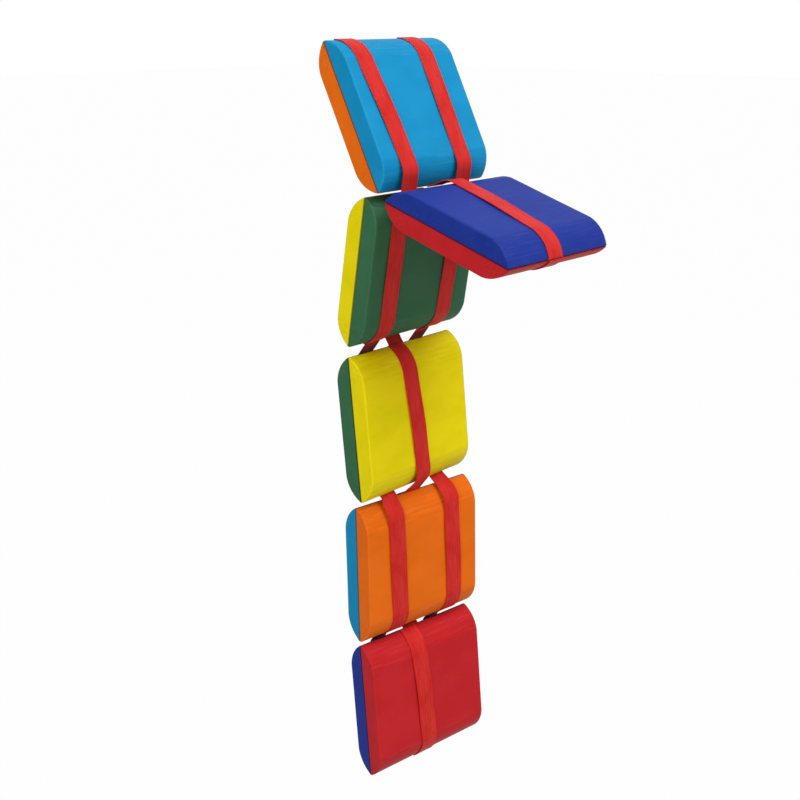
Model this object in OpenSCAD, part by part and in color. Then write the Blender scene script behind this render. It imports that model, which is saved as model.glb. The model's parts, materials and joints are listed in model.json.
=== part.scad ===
// Flip block toy: six two-tone wooden blocks in a hanging chain. Three crossed ribbons join
// each pair, with their ends trapped in the seams between the half-boards, and one more
// ribbon runs down the front of the lowest block. Each pair of blocks rolls over its
// ribbons, so a block can tumble down the chain.

/* [Blocks] */
// Width of every block, across the ribbons
block_w = 60; // [48:0.5:90]
// Length of every block, from rounded end to rounded end
block_l = 60; // [45:0.5:90]
// Thickness of one half-board; two make a block
board_t = 7.5; // [6:0.25:10]
// How much longer the rounding at each end is than a half-round, which makes the end pointed
taper = 3; // [0:0.25:4]
// Radius rubbed on the long outer edges
edge_r = 0.7; // [0.3:0.1:2]
// Bevel along the long seam edges, which leaves a fine groove between the two colours
seam_ease = 0.3; // [0.1:0.05:0.6]

/* [Ribbons] */
// Width of a ribbon
ribbon_w = 8.5; // [5:0.25:11]
// Thickness of a ribbon
ribbon_t = 0.4; // [0.25:0.05:0.6]
// Distance from a block's middle to where each outer ribbon was laid, as a share of its width
outer_share = 0.25; // [0.2:0.01:0.3]
// Sideways place where the centre ribbons were laid
centre_offset = -2; // [-2.5:0.25:2.5]
// How far a ribbon stands off the painted wood
ribbon_lift = 0.12; // [0.1:0.02:0.3]
// Length of each ribbon end trapped between two boards
tail_l = 9; // [4:0.5:14]
// Clearance round a trapped ribbon end in its pocket
seat_gap = 0.04; // [0.02:0.01:0.1]

/* [Drift of the ribbons to the right, each as left, centre, right] */
// Drift at the hinge between blocks 1 and 2
drift_1_2 = [-2, 3, -1]; // [-3:0.5:3]
// Drift at the hinge between blocks 2 and 3
drift_2_3 = [-2.5, 0, 1]; // [-3:0.5:3]
// Drift at the hinge between blocks 4 and 5
drift_4_5 = [0, 2, 0.5]; // [-3:0.5:3]
// Slant of the first hinge's ribbons, as more drift at the far end of their blocks
slant_1_2 = [-3.5, -4, 0]; // [-4:0.5:4]
// Slant of the fourth hinge's ribbons
slant_4_5 = [1.5, -3.5, 1]; // [-4:0.5:4]
// Slant of the ribbon down the lowest block, as drift at its top
slant_last = -2.5; // [-4:0.5:4]

/* [Gaps between block ends] */
// Gap between blocks 1 and 2
gap_1_2 = 2.8; // [1.6:0.1:5]
// Gap between blocks 2 and 3
gap_2_3 = 3.9; // [2.4:0.1:5]
// Gap between blocks 3 and 4
gap_3_4 = 3.9; // [1.6:0.1:5]
// Gap between blocks 4 and 5
gap_4_5 = 3; // [1.6:0.1:5]
// Gap between blocks 5 and 6
gap_5_6 = 1.6; // [1.2:0.1:5]

/* [Pose, with block 2 caught half way through its flip] */
// Lean of block 1 from upright, its top going back
lean_1 = -27; // [-35:0.5:-15]
// Lean of block 2
lean_2 = -73; // [-85:0.5:-65]
// Lean of block 3
lean_3 = 9.5; // [-5:0.5:12]
// Lean of block 4
lean_4 = -6; // [-10:0.5:10]
// Lean of block 5
lean_5 = -1.5; // [-10:0.5:10]
// Lean of block 6
lean_6 = -6; // [-10:0.5:10]
// How far the ribbons between blocks 2 and 3 hang above their even angle
lift_2_3 = 18; // [10:1:24]
// Twist of the two lowest blocks about the vertical
twist = -7; // [-9:1:9]

/* [Hidden] */

FRONT = -1;
BACK = 1;
TOP = 1;
BOTTOM = -1;

LEFT = 0;
CENTRE = 1;
RIGHT = 2;

FIRST = 1;
LAST = 6;
FRONT_COLOURS = ["#1e96d2", "#3c46aa", "#32784b", "#d7c800", "#d46419", "#b62c30"];
BACK_COLOURS = ["#e67e22", "#b9191c", "#cdb400", "#2c6442", "#1e8cc8", "#28327d"];
RIBBON_COLOUR = "#e13228";

// Each pair: upper block, its hinged end, the face that folds inward, then the same for the
// lower block. The folding faces change sides from pair to pair, as the ribbons dictate.
PAIRS = [
    [1, BOTTOM, FRONT, 2, TOP, FRONT],
    [2, TOP, BACK, 3, TOP, FRONT],
    [3, BOTTOM, BACK, 4, TOP, BACK],
    [4, BOTTOM, FRONT, 5, TOP, FRONT],
    [5, BOTTOM, BACK, 6, TOP, BACK],
];
SIDES = ["left", "centre", "right"];
COLUMNS = [-outer_share * block_w, centre_offset, outer_share * block_w];
STRAIGHT = [0, 0, 0];                  // the hidden ribbons lie where they were laid
DRIFTS = [drift_1_2, drift_2_3, STRAIGHT, drift_4_5, STRAIGHT];
SLANTS = [slant_1_2, STRAIGHT, STRAIGHT, slant_4_5, STRAIGHT];

leans = [lean_1, lean_2, lean_3, lean_4, lean_5, lean_6];
gaps = [gap_1_2, gap_2_3, gap_3_4, gap_4_5, gap_5_6];
lifts = [0, lift_2_3, 0, 0, 0];
first_twisted = 5;                     // this block and those below it are twisted

end_l = board_t + taper;               // length of the rounding, from tip to flat face
round_r = (end_l * end_l / board_t + board_t) / 2;  // arc from the tip that meets the face
half_flat = block_l / 2 - end_l;       // from a block's middle to the end of its flat face
end_r = board_t;                       // an end rolls as if it were a plain half-round
roll_z = block_l / 2 - end_r;          // from a block's middle to the axis it rolls about
lift_r = end_r + ribbon_lift;          // inside of a ribbon that rolls round an end
wrap_r = lift_r + ribbon_t / 2;        // middle of a ribbon that rolls round an end
wrap_step = 6;                         // degrees between sections round an end
cross_steps = 5;                       // stretches of a ribbon between two ends
smooth = 96;                           // facets of an end circle in a preview
edge_smooth = 32;                      // facets of a rubbed edge in a preview
over = 1;                              // overshoot of a cutting shape

// Plane geometry: a point or direction is [y, z], and angles turn from +Y towards +Z.
function dir(a) = [cos(a), sin(a)];
function angle_of(v) = atan2(v[1], v[0]);
function near(a) = a - 360 * round(a / 360);
function up_angle(block) = 90 + leans[block - 1];
function end_angle(block, end) = up_angle(block) + (end == TOP ? 0 : 180);
function face_angle(block, side) = leans[block - 1] + (side == BACK ? 0 : 180);

// The link from one end's axis to the next bisects the two blocks' directions.
function link_angle(p) =
    let (pair = PAIRS[p])
    angle_of(dir(end_angle(pair[0], pair[1])) - dir(end_angle(pair[3], pair[4]))) + lifts[p];
function link_length(p) = 2 * end_r + gaps[p];

function roll_centre(block, end) = centre_of(block) + dir(end_angle(block, end)) * roll_z;

// Block 1's back face has its middle at the origin, and each block hangs from the one above.
function centre_of(block) =
    block == FIRST ? -dir(face_angle(FIRST, BACK)) * board_t :
    let (p = block - 2, pair = PAIRS[p])
    roll_centre(pair[0], pair[1]) + dir(link_angle(p)) * link_length(p)
        - dir(end_angle(block, pair[4])) * roll_z;

twist_y = roll_centre(first_twisted, TOP)[0];

// How much of the twist a block has: none above the twisted blocks, and all of it from there.
function twist_share(block) = block >= first_twisted ? 1 : 0;

// Turns children about the vertical line on which the chain twists.
module twisted(share) {
    translate([0, twist_y, 0]) rotate([0, 0, twist * share]) translate([0, -twist_y, 0]) children();
}

// Sets children, drawn upright about a block's middle, into that block's place in the chain.
module in_block(block) {
    c = centre_of(block);
    twisted(twist_share(block))
        translate([0, c[0], c[1]]) rotate([leans[block - 1], 0, 0]) children();
}

// Extrudes a [y, z] outline along X, centred.
module across(width) {
    rotate([90, 0, 90]) linear_extrude(height = width, center = true) children();
}

// The half-plane strip on one side of the seam.
module strip(side, thickness, z_low, z_high) {
    translate([side == BACK ? 0 : -thickness, z_low]) square([thickness, z_high - z_low]);
}

// A board seen from the side: straight seam, flat face, and at each end an arc that leaves
// the face smoothly and comes to the seam at a blunt point.
module board_side(side) {
    strip(side, board_t, -half_flat, half_flat);
    for (end = [TOP, BOTTOM])
        scale([1, end])
            intersection() {
                translate([side * (board_t - round_r), half_flat]) circle(r = round_r, $fn = smooth);
                strip(side, board_t, half_flat, block_l / 2 + over);
            }
}

// A board seen from its end: rubbed outer edges and a small bevel beside the seam.
module board_end() {
    difference() {
        union() {
            translate([-block_w / 2, 0]) square([block_w, board_t - edge_r]);
            translate([-block_w / 2 + edge_r, 0]) square([block_w - 2 * edge_r, board_t]);
            for (x = [-1, 1])
                translate([x * (block_w / 2 - edge_r), board_t - edge_r])
                    circle(r = edge_r, $fn = edge_smooth);
        }
        for (x = [-1, 1])
            translate([x * block_w / 2, 0]) rotate(45) square(seam_ease * sqrt(2), center = true);
    }
}

// A shallow pocket for one trapped ribbon end.
module pocket(side, end, place) {
    depth = ribbon_t + 2 * seat_gap;
    low = block_l / 2 - tail_l - seat_gap;
    translate([place, 0, 0])
        across(ribbon_w + 2 * seat_gap)
            scale([side, end]) translate([0, low]) square([depth, tail_l + over]);
}

module board(block, side) {
    colours = side == FRONT ? FRONT_COLOURS : BACK_COLOURS;
    color(colours[block - 1])
        in_block(block)
            difference() {
                intersection() {
                    across(block_w + over) board_side(side);
                    linear_extrude(height = block_l + over, center = true)
                        mirror([0, side == FRONT ? 1 : 0]) board_end();
                }
                for (trap = TRAPS)
                    if (trap[0] == block && trap[1] == side) pocket(side, trap[2], trap[3]);
            }
}

// The outer ribbons of the first pair run over the upper block, and of the rest over the
// lower one; the centre ribbon does the opposite.
function runs_on_upper(p, column) = (p == 0) == (column != CENTRE);
function run_block(p, column) = PAIRS[p][runs_on_upper(p, column) ? 0 : 3];
function run_side(p, column) = PAIRS[p][runs_on_upper(p, column) ? 2 : 5];
function run_end(p, column) = PAIRS[p][runs_on_upper(p, column) ? 1 : 4];
function held_block(p, column) = PAIRS[p][runs_on_upper(p, column) ? 3 : 0];
function held_end(p, column) = PAIRS[p][runs_on_upper(p, column) ? 4 : 1];

// 1 where a ribbon goes the way that angles turn as it rolls off its block, and -1 otherwise.
function turn_of(p, column) = run_side(p, column) * run_end(p, column);

// A ribbon's sideways place at its hinge and at the far end of the block that it runs on.
function hinge_place(p, column) = COLUMNS[column] + DRIFTS[p][column];
function far_place(p, column) = hinge_place(p, column) + SLANTS[p][column];

// Where each ribbon end is trapped: block, side, end and sideways place. One end is at the far
// end of the run. The other goes into the seam of the block that holds it, past the hinge.
TRAPS = concat(
    [for (p = [0:len(PAIRS) - 1], column = [LEFT:RIGHT])
        [run_block(p, column), run_side(p, column), -run_end(p, column), far_place(p, column)]],
    [for (p = [0:len(PAIRS) - 1], column = [LEFT:RIGHT])
        let (end = held_end(p, column))
        [held_block(p, column), -end * turn_of(p, column), end, hinge_place(p, column)]],
    [for (end = [TOP, BOTTOM])
        [LAST, FRONT, end, centre_offset + (end == TOP ? slant_last : 0)]]
);

// The middle line of a ribbon through a hinge. It leaves the flat face, rolls round that
// block's end, crosses between the two ends on their inner tangent, rolls round the other end
// to its seam and goes in. Where a tangent point falls outside an end's arc, the ribbon goes
// straight from the face's edge, or straight to the seam. Each entry is [y, z, share], and the
// share goes from 0 on the one block to 1 on the other across the gap.
function hinge_line(p, column) =
    let (
        a = run_block(p, column),
        b = held_block(p, column),
        ca = roll_centre(a, run_end(p, column)),
        cb = roll_centre(b, held_end(p, column)),
        face_a = face_angle(a, run_side(p, column)),
        tip_b = end_angle(b, held_end(p, column)),
        turn = turn_of(p, column),
        mouth = tip_b + turn * asin((seat_gap + ribbon_t) / wrap_r),
        u = angle_of(cb - ca),
        spread = acos(2 * wrap_r / norm(cb - ca)),
        roll_a = turn * near(u - turn * spread - face_a),
        roll_b = turn * near(u + 180 - turn * spread - mouth),
        start = ca + wrap_r * dir(face_a),
        lip = cb + wrap_r * dir(mouth),
        leave = roll_b > 0 ? roll_a : turn * near(tangent_angle(ca, lip, turn) - face_a),
        join = roll_a > 0 ? roll_b : turn * near(tangent_angle(cb, start, turn) - mouth),
        pocket_middle = cb + dir(tip_b + turn * 90) * (seat_gap + ribbon_t / 2)
    )
    let (
        out = leave <= 0 ? [start] :
            [for (arc = arc_angles(leave)) ca + wrap_r * dir(face_a + turn * arc)],
        in = join <= 0 ? [lip] :
            [for (arc = arc_angles(join)) cb + wrap_r * dir(mouth + turn * (join - arc))],
        from = out[len(out) - 1],
        to = in[0]
    )
    [
        for (point = out) concat(point, 0),
        for (i = [1:cross_steps - 1]) concat(from + (to - from) * i / cross_steps, i / cross_steps),
        for (point = in) concat(point, 1),
        for (depth = [lift_r, end_r - tail_l]) concat(pocket_middle + dir(tip_b) * depth, 1)
    ];

// Where a line from a point touches the wrap circle about a centre, on the given turn's side.
function tangent_angle(centre, point, turn) =
    angle_of(point - centre) - turn * acos(min(1, wrap_r / norm(point - centre)));

function arc_angles(arc) =
    let (steps = ceil(arc / wrap_step)) [for (i = [0:steps]) arc * i / steps];

function unit(v) = v / norm(v);

// Offset to the band's side at each point of its line, mitred where the line bends. At the two
// ends it is square to the face that the band comes from and to the pocket that it ends in.
function side_offset(line, i, first, last) =
    let (
        count = len(line),
        arrive = i == 0 ? first : unit(line[i] - line[i - 1]),
        depart = i == count - 1 ? last : unit(line[i + 1] - line[i]),
        t = i == 0 ? first : i == count - 1 ? last : unit(arrive + depart)
    )
    [-t[1], t[0]] * ribbon_t / 2 / (i == 0 || i == count - 1 ? 1 : t * arrive);

// A flat band swept along its line. Each entry of the line is [x, y, z] in the middle of the
// band, and the band's width lies along X. The first and last [y, z] directions square it off.
module band(line, first, last, shares) {
    plane = [for (point = line) [point[1], point[2]]];
    corners = [[-1, -1], [1, -1], [1, 1], [-1, 1]];
    points = [
        for (i = [0:len(line) - 1], corner = corners)
            let (
                at = plane[i] + corner[1] * side_offset(plane, i, first, last),
                x = line[i][0] + corner[0] * ribbon_w / 2
            )
            turned([x, at[0], at[1]], shares[i])
    ];
    end_ring = 4 * (len(line) - 1);
    faces = concat(
        [[3, 2, 1, 0]],
        [for (i = [0:len(line) - 2], k = [0:3], half = [0, 1])
            let (here = 4 * i + k, next = 4 * i + (k + 1) % 4)
            half == 0 ? [here, next, next + 4] : [here, next + 4, here + 4]],
        [[end_ring, end_ring + 1, end_ring + 2, end_ring + 3]]
    );
    color(RIBBON_COLOUR) polyhedron(points, faces, convexity = 4);
}

function eased(t) = t * t * (3 - 2 * t);

// Turns [x, y, z] about the chain's twisting line by a share of the twist.
function turned(point, share) =
    let (a = twist * share, y = point[1] - twist_y)
    [point[0] * cos(a) - y * sin(a), twist_y + point[0] * sin(a) + y * cos(a), point[2]];

// The flexing stretch of a ribbon, through its hinge into its pocket. Between blocks 4 and 5
// it turns with the twist on its way down.
module ribbon_hinge(p, column) {
    hinge = hinge_line(p, column);
    a = run_block(p, column);
    b = held_block(p, column);
    line = [for (entry = hinge) [hinge_place(p, column), entry[0], entry[1]]];
    shares = [for (entry = hinge)
        twist_share(a) + (twist_share(b) - twist_share(a)) * eased(entry[2])];
    band(line, dir(end_angle(a, run_end(p, column))), -dir(end_angle(b, held_end(p, column))),
        shares);
}

// The middle line of a ribbon's far end on its block, as [depth, length]: up out of the seam,
// then close along the rounded wood to where the flat face begins.
function end_line() =
    let (
        centre = [board_t - round_r, half_flat],
        along_r = round_r + ribbon_lift + ribbon_t / 2,
        middle = seat_gap + ribbon_t / 2,
        bend = acos((middle + ribbon_t - centre[0]) / along_r)
    )
    [
        [middle, block_l / 2 - tail_l],
        [middle, block_l / 2 + ribbon_lift],
        for (arc = arc_angles(bend)) centre + along_r * dir(bend - arc)
    ];

// The stretch of a ribbon that stays on its block: out of the seam at one end, round that end
// and along the face, which it may cross at a slant. A ribbon that never leaves its block does
// the same at both ends.
module run(block, side, far_end, x_far, x_near, both = false) {
    lead = [for (point = end_line()) [x_far, side * point[0], far_end * point[1]]];
    rest = both ? [for (i = [len(lead) - 1:-1:0]) [x_near, lead[i][1], -lead[i][2]]] :
        [[x_near, side * wrap_r, -far_end * roll_z]];
    line = concat(lead, rest);
    in_block(block)
        band(line, [0, far_end], [0, both ? far_end : -far_end], [for (point = line) 0]);
}

module ribbon_run(p, column) {
    run(run_block(p, column), run_side(p, column), -run_end(p, column),
        far_place(p, column), hinge_place(p, column));
}

for (block = [FIRST:LAST]) {
    board(block, FRONT);
    board(block, BACK);
}
for (p = [0:len(PAIRS) - 1], column = [LEFT:RIGHT]) {
    name = str("ribbon_", PAIRS[p][0], "_", PAIRS[p][3], "_", SIDES[column]);
    ribbon_run(p, column);
    ribbon_hinge(p, column);
}
run(LAST, FRONT, TOP, centre_offset + slant_last, centre_offset, both = true);  // ribbon_6_front_run
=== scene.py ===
"""Looks of a flip block toy: painted half-boards, woven ribbons rolling through their hinges,
a pale studio and the camera. The toy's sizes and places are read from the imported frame, apart
from the few of its ribbons and pockets that are named below."""

import json
import math

import bpy
import numpy as np
from bpy.props import FloatProperty, FloatVectorProperty, PointerProperty
from bpy.types import Operator, Panel, PropertyGroup
from mathutils import Matrix, Vector

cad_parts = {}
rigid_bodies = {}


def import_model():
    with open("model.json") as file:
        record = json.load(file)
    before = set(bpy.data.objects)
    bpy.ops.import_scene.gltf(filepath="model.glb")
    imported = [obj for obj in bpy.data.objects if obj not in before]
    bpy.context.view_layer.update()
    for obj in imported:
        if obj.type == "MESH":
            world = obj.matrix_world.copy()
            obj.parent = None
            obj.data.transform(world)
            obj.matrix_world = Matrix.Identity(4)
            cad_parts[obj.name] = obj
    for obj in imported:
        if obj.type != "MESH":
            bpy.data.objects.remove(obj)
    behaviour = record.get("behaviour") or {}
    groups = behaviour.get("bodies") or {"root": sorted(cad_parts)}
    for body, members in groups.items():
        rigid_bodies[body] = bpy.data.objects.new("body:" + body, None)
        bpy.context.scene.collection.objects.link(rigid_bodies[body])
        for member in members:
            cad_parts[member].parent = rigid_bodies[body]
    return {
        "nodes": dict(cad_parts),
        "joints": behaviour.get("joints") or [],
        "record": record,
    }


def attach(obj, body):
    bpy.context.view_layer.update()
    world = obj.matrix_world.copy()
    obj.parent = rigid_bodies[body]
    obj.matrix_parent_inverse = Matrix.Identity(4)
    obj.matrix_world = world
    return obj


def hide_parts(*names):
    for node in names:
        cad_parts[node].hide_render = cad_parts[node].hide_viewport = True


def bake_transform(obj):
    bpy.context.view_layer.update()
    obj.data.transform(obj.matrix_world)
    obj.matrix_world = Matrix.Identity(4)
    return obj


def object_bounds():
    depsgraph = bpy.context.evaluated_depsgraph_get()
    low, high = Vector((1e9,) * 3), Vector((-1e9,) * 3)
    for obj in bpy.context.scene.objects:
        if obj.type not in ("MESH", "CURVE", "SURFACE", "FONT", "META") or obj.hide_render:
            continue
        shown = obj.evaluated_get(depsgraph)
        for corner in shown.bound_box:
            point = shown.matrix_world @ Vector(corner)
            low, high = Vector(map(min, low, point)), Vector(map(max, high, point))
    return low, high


bl_info = {
    "name": "Flip Block Toy",
    "version": (1, 0, 0),
    "blender": (4, 5, 0),
    "location": "3D View > Sidebar > Flip Toy",
    "description": "Painted boards and woven ribbons for a hanging flip block toy",
    "category": "Add Mesh",
}

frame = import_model()
CAD_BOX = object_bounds()

FRONT, BACK = -1, 1
BOTTOM, TOP = -1, 1
BLOCKS = range(1, 7)
COLUMNS = ("left", "centre", "right")
PAIRS = ((1, 2), (2, 3), (3, 4), (4, 5), (5, 6))
FACE_PAINTS = {
    FRONT: ("light_blue", "dark_blue", "green", "yellow", "orange", "red"),
    BACK: ("orange", "red", "yellow", "green", "light_blue", "dark_blue"),
}
FIRST_TWISTED = 5
LOWEST = 6
MM = 0.001

# The CAD's ribbons and pockets.
BAND = 0.4 * MM                     # thickness of a ribbon
SEAT_GAP = 0.04 * MM                # clearance round a trapped end
POCKET_DEPTH = BAND + 2 * SEAT_GAP  # from the seam to a pocket's floor
POCKET_MIDDLE = SEAT_GAP + BAND / 2
POCKET_MOUTH = SEAT_GAP + BAND
PAST_ROLL = 2 * MM                  # farther than this past a rolling axis is a ribbon's end
TOLERANCE = 0.002 * MM              # points this near to a face or an end are on it

# Fine shape of the visible pieces.
WALL = 0.02 * MM                    # half the run of a pocket's steep sides
FACE_MARGIN = 0.2 * MM              # from the crease to the first row of the flat face
ARC_MARGIN = 0.02                   # radians from the crease to the last row of the end arc
MEETING = 0.72                      # share of a crossing at which its two moving pieces meet
TURN_END = 0.35 * MM                # a rolling ribbon is in the seam this far below the tip
KNEE_RISE = 0.16 * MM               # a resting ribbon bends round a knee this far above it
KNEE_RUN = 0.5 * MM                 # and is in the seam this far below the knee
WANDER = 0.22 * MM                  # how far a ribbon strays sideways on its face
WANDER_WAVE = 0.11                  # radians in a millimetre
SANDING_WAVES = (0.19, 0.23, 0.11)  # radians in a millimetre across, along and askew
PATTERN_STEP = (31.0, 17.0, 53.0)   # shift of the paint's pattern from block to block

# Noise in the paint and the cloth: cycles in a millimetre on each axis, detail, roughness.
BLOTCH = ((0.05, 0.09, 0.09), 3, 0.55)
GRAIN = ((0.05, 0.8, 0.8), 5, 0.6)
# Pale marks on the board ends: partly sanding marks, partly a painted highlight
BRUSH_MARKS_AND_HIGHLIGHT = ((0.08, 1.2, 1.2), 4, 0.6)
STREAK = ((0.09, 3.2, 3.2), 4, 0.65)
FLECK = ((0.25, 2.4, 2.4), 6, 0.7)
SHADE = ((0.12, 0.05, 0.1), 3, 0.55)
THREAD = ((3.0, 0.12, 0.1), 3, 0.55)
WARP_PITCH, WEFT_PITCH = 0.34, 0.42  # millimetres from thread to thread

# Lamps: diameter, and place from the point that the camera looks at.
KEY_LAMP = (0.9, (0.15, -0.75, 1.0))
SIDE_LAMP = (0.5, (-0.7, -0.25, 0.45))
FLOOR_REACH = 12.0                  # from the floor's middle to its edges
FLOOR_GREY = 0.9
FLOOR_WHITE = 0.975                 # share of white in the floor as the camera sees it
SENSOR = 36.0                       # millimetres wide


class FLIPTOY_PG_boards(PropertyGroup):
    """Shape and paint of the half-boards."""

    edge_round: FloatProperty(
        name="Edge rounding", description="Radius sanded on the outer edges",
        default=0.6 * MM, min=0.2 * MM, max=2 * MM, unit="LENGTH", precision=4)
    seam_round: FloatProperty(
        name="Seam rounding", description="Radius on the edges beside the seam",
        default=0.35 * MM, min=0.1 * MM, max=0.8 * MM, unit="LENGTH", precision=4)
    crease: FloatProperty(
        name="Crease", description="Angle at which the rounding of an end leaves the face",
        default=math.radians(6), min=0, max=math.radians(9), subtype="ANGLE")
    sanding: FloatProperty(
        name="Sanding waves", description="Height of the waves that sanding leaves",
        default=0.045 * MM, min=0, max=0.2 * MM, unit="LENGTH", precision=5)
    light_blue: FloatVectorProperty(
        name="Light blue", description="Light blue paint", subtype="COLOR_GAMMA",
        default=(0.05, 0.52, 0.71), min=0, max=1)
    dark_blue: FloatVectorProperty(
        name="Dark blue", description="Dark blue paint", subtype="COLOR_GAMMA",
        default=(0.10, 0.185, 0.53), min=0, max=1)
    red: FloatVectorProperty(
        name="Red", description="Red paint", subtype="COLOR_GAMMA",
        default=(0.72, 0.12, 0.14), min=0, max=1)
    green: FloatVectorProperty(
        name="Green", description="Green paint", subtype="COLOR_GAMMA",
        default=(0.20, 0.39, 0.265), min=0, max=1)
    yellow: FloatVectorProperty(
        name="Yellow", description="Yellow paint", subtype="COLOR_GAMMA",
        default=(0.88, 0.81, 0.0), min=0, max=1)
    orange: FloatVectorProperty(
        name="Orange", description="Orange paint", subtype="COLOR_GAMMA",
        default=(0.865, 0.40, 0.035), min=0, max=1)


class FLIPTOY_PG_ribbons(PropertyGroup):
    """Shape and cloth of the ribbons."""

    body_thick: FloatProperty(
        name="Thickness", description="Thickness of the woven band",
        default=0.24 * MM, min=0.1 * MM, max=0.38 * MM, unit="LENGTH", precision=5)
    selvedge_thick: FloatProperty(
        name="Selvedge thickness", description="Thickness of the woven edge cord",
        default=0.36 * MM, min=0.1 * MM, max=0.4 * MM, unit="LENGTH", precision=5)
    slack: FloatProperty(
        name="Slack", description="How far a loose ribbon bows off its face",
        default=0.35 * MM, min=0, max=0.8 * MM, unit="LENGTH", precision=5)
    tail: FloatProperty(
        name="Trapped length", description="Length of ribbon end between two boards",
        default=9 * MM, min=4 * MM, max=14 * MM, unit="LENGTH", precision=4)
    colour: FloatVectorProperty(
        name="Ribbon", description="Red of the cloth", subtype="COLOR_GAMMA",
        default=(0.78, 0.085, 0.045), min=0, max=1)
    selvedge_colour: FloatVectorProperty(
        name="Selvedge", description="Paler thread along both edges", subtype="COLOR_GAMMA",
        default=(0.80, 0.14, 0.10), min=0, max=1)


class FLIPTOY_PG_studio(PropertyGroup):
    """Light, floor and camera."""

    floor_drop: FloatProperty(
        name="Floor drop", description="Distance from the toy down to the floor",
        default=0.35, min=0.05, max=1, unit="LENGTH")
    key_power: FloatProperty(
        name="Key light", description="Power of the large light, in front and above",
        default=11.6, min=0, max=60)
    side_power: FloatProperty(
        name="Side light", description="Power of the smaller light, to the left and above",
        default=3.6, min=0, max=60)
    fill_strength: FloatProperty(
        name="Fill", description="Strength of the even light from all round",
        default=0.40, min=0, max=1)
    azimuth: FloatProperty(
        name="Camera azimuth", description="Bearing of the camera round the toy",
        default=math.radians(-47.62), subtype="ANGLE")
    elevation: FloatProperty(
        name="Camera elevation", description="Height of the camera above the horizon",
        default=math.radians(17.55), subtype="ANGLE")
    roll: FloatProperty(
        name="Camera roll", description="Turn of the camera about its own line of sight",
        default=math.radians(-0.14), subtype="ANGLE")
    distance: FloatProperty(
        name="Camera distance", description="From the camera to the point it looks at",
        default=0.5083, unit="LENGTH")
    lens: FloatProperty(
        name="Lens", description="Focal length, in millimetres",
        default=55.39)
    look_at: FloatVectorProperty(
        name="Look at", description="Point in the middle of the picture",
        default=(0, -3.45 * MM, -112.85 * MM), subtype="XYZ", unit="LENGTH", precision=4)


def linear(colour):
    """Display colour to linear light: the inverse of the standard display curve, per channel."""
    c = np.asarray(colour, float)
    low = c / 12.92
    high = ((c + 0.055) / 1.055) ** 2.4
    return (*np.where(c <= 0.04045, low, high).tolist(), 1.0)


def vertices_of(mesh):
    """All vertices of a mesh, as rows of x, y, z."""
    flat = np.empty(len(mesh.vertices) * 3, np.float32)
    mesh.vertices.foreach_get("co", flat)
    return flat.reshape(-1, 3)


def points_of(name):
    """All vertices of one CAD node."""
    return vertices_of(frame["nodes"][name].data).astype(float)


def joint_at(parent, child):
    """Place and axis of the joint from one body to the next."""
    for joint in frame["joints"]:
        if joint["parent"] == parent and joint["child"] == child:
            return np.array(joint["pos_m"]), np.array(joint["axis"])
    raise RuntimeError(f"no joint from {parent} to {child}")


class Block:
    """A block measured from its two CAD boards: middle, axes and size.

    The width axis is its joint's axis. The depth axis is the direction of least spread of the
    boards' points across it, pointing from the front board to the back one, and the length
    axis is width crossed with depth. The middle is halfway between the extremes on each axis.
    """

    def __init__(self, number):
        self.number = number
        self.body = f"block_{number}"
        if number == 1:
            self.width_axis = joint_at("block_1", "link_1_2")[1]
        else:
            self.width_axis = joint_at(f"link_{number - 1}_{number}", self.body)[1]
        front = points_of(f"{self.body}_front_board")
        back = points_of(f"{self.body}_back_board")
        points = np.vstack((front, back))
        apart = back.mean(0) - front.mean(0)
        apart -= self.width_axis * (apart @ self.width_axis)
        self.depth_axis = apart / np.linalg.norm(apart)
        for reach in (90, 1, 0.01):  # each search is finer than the last
            self.depth_axis = self.square_up(points, reach)
        self.depth_axis *= math.copysign(1, self.depth_axis @ apart)
        self.length_axis = np.cross(self.width_axis, self.depth_axis)
        axes = np.array((self.width_axis, self.depth_axis, self.length_axis))
        along = points @ axes.T
        low, high = along.min(0), along.max(0)
        self.axes = axes
        self.middle = (low + high) / 2 @ axes
        self.width, self.depth, self.length = high - low
        self.end_r = self.depth / 2
        self.roll_z = self.length / 2 - self.end_r
        local = np.abs(self.to_local(points))
        on_face = local[:, 1] > self.end_r - TOLERANCE
        self.half_flat = local[on_face, 2].max()

    def square_up(self, points, reach):
        """The direction within reach degrees, about the width axis, of the least thickness."""
        turns = np.radians(np.linspace(-reach, reach, 201))
        across = np.cross(self.width_axis, self.depth_axis)
        tries = np.outer(np.cos(turns), self.depth_axis) + np.outer(np.sin(turns), across)
        thickness = np.ptp(points @ tries.T, axis=0)
        return tries[np.argmin(thickness)]

    def to_world(self, local):
        """Rows of local width, depth and length to places in the frame."""
        return self.middle + local @ self.axes

    def to_local(self, world):
        """Places in the frame to rows of local width, depth and length."""
        return (world - self.middle) @ self.axes.T


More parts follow.
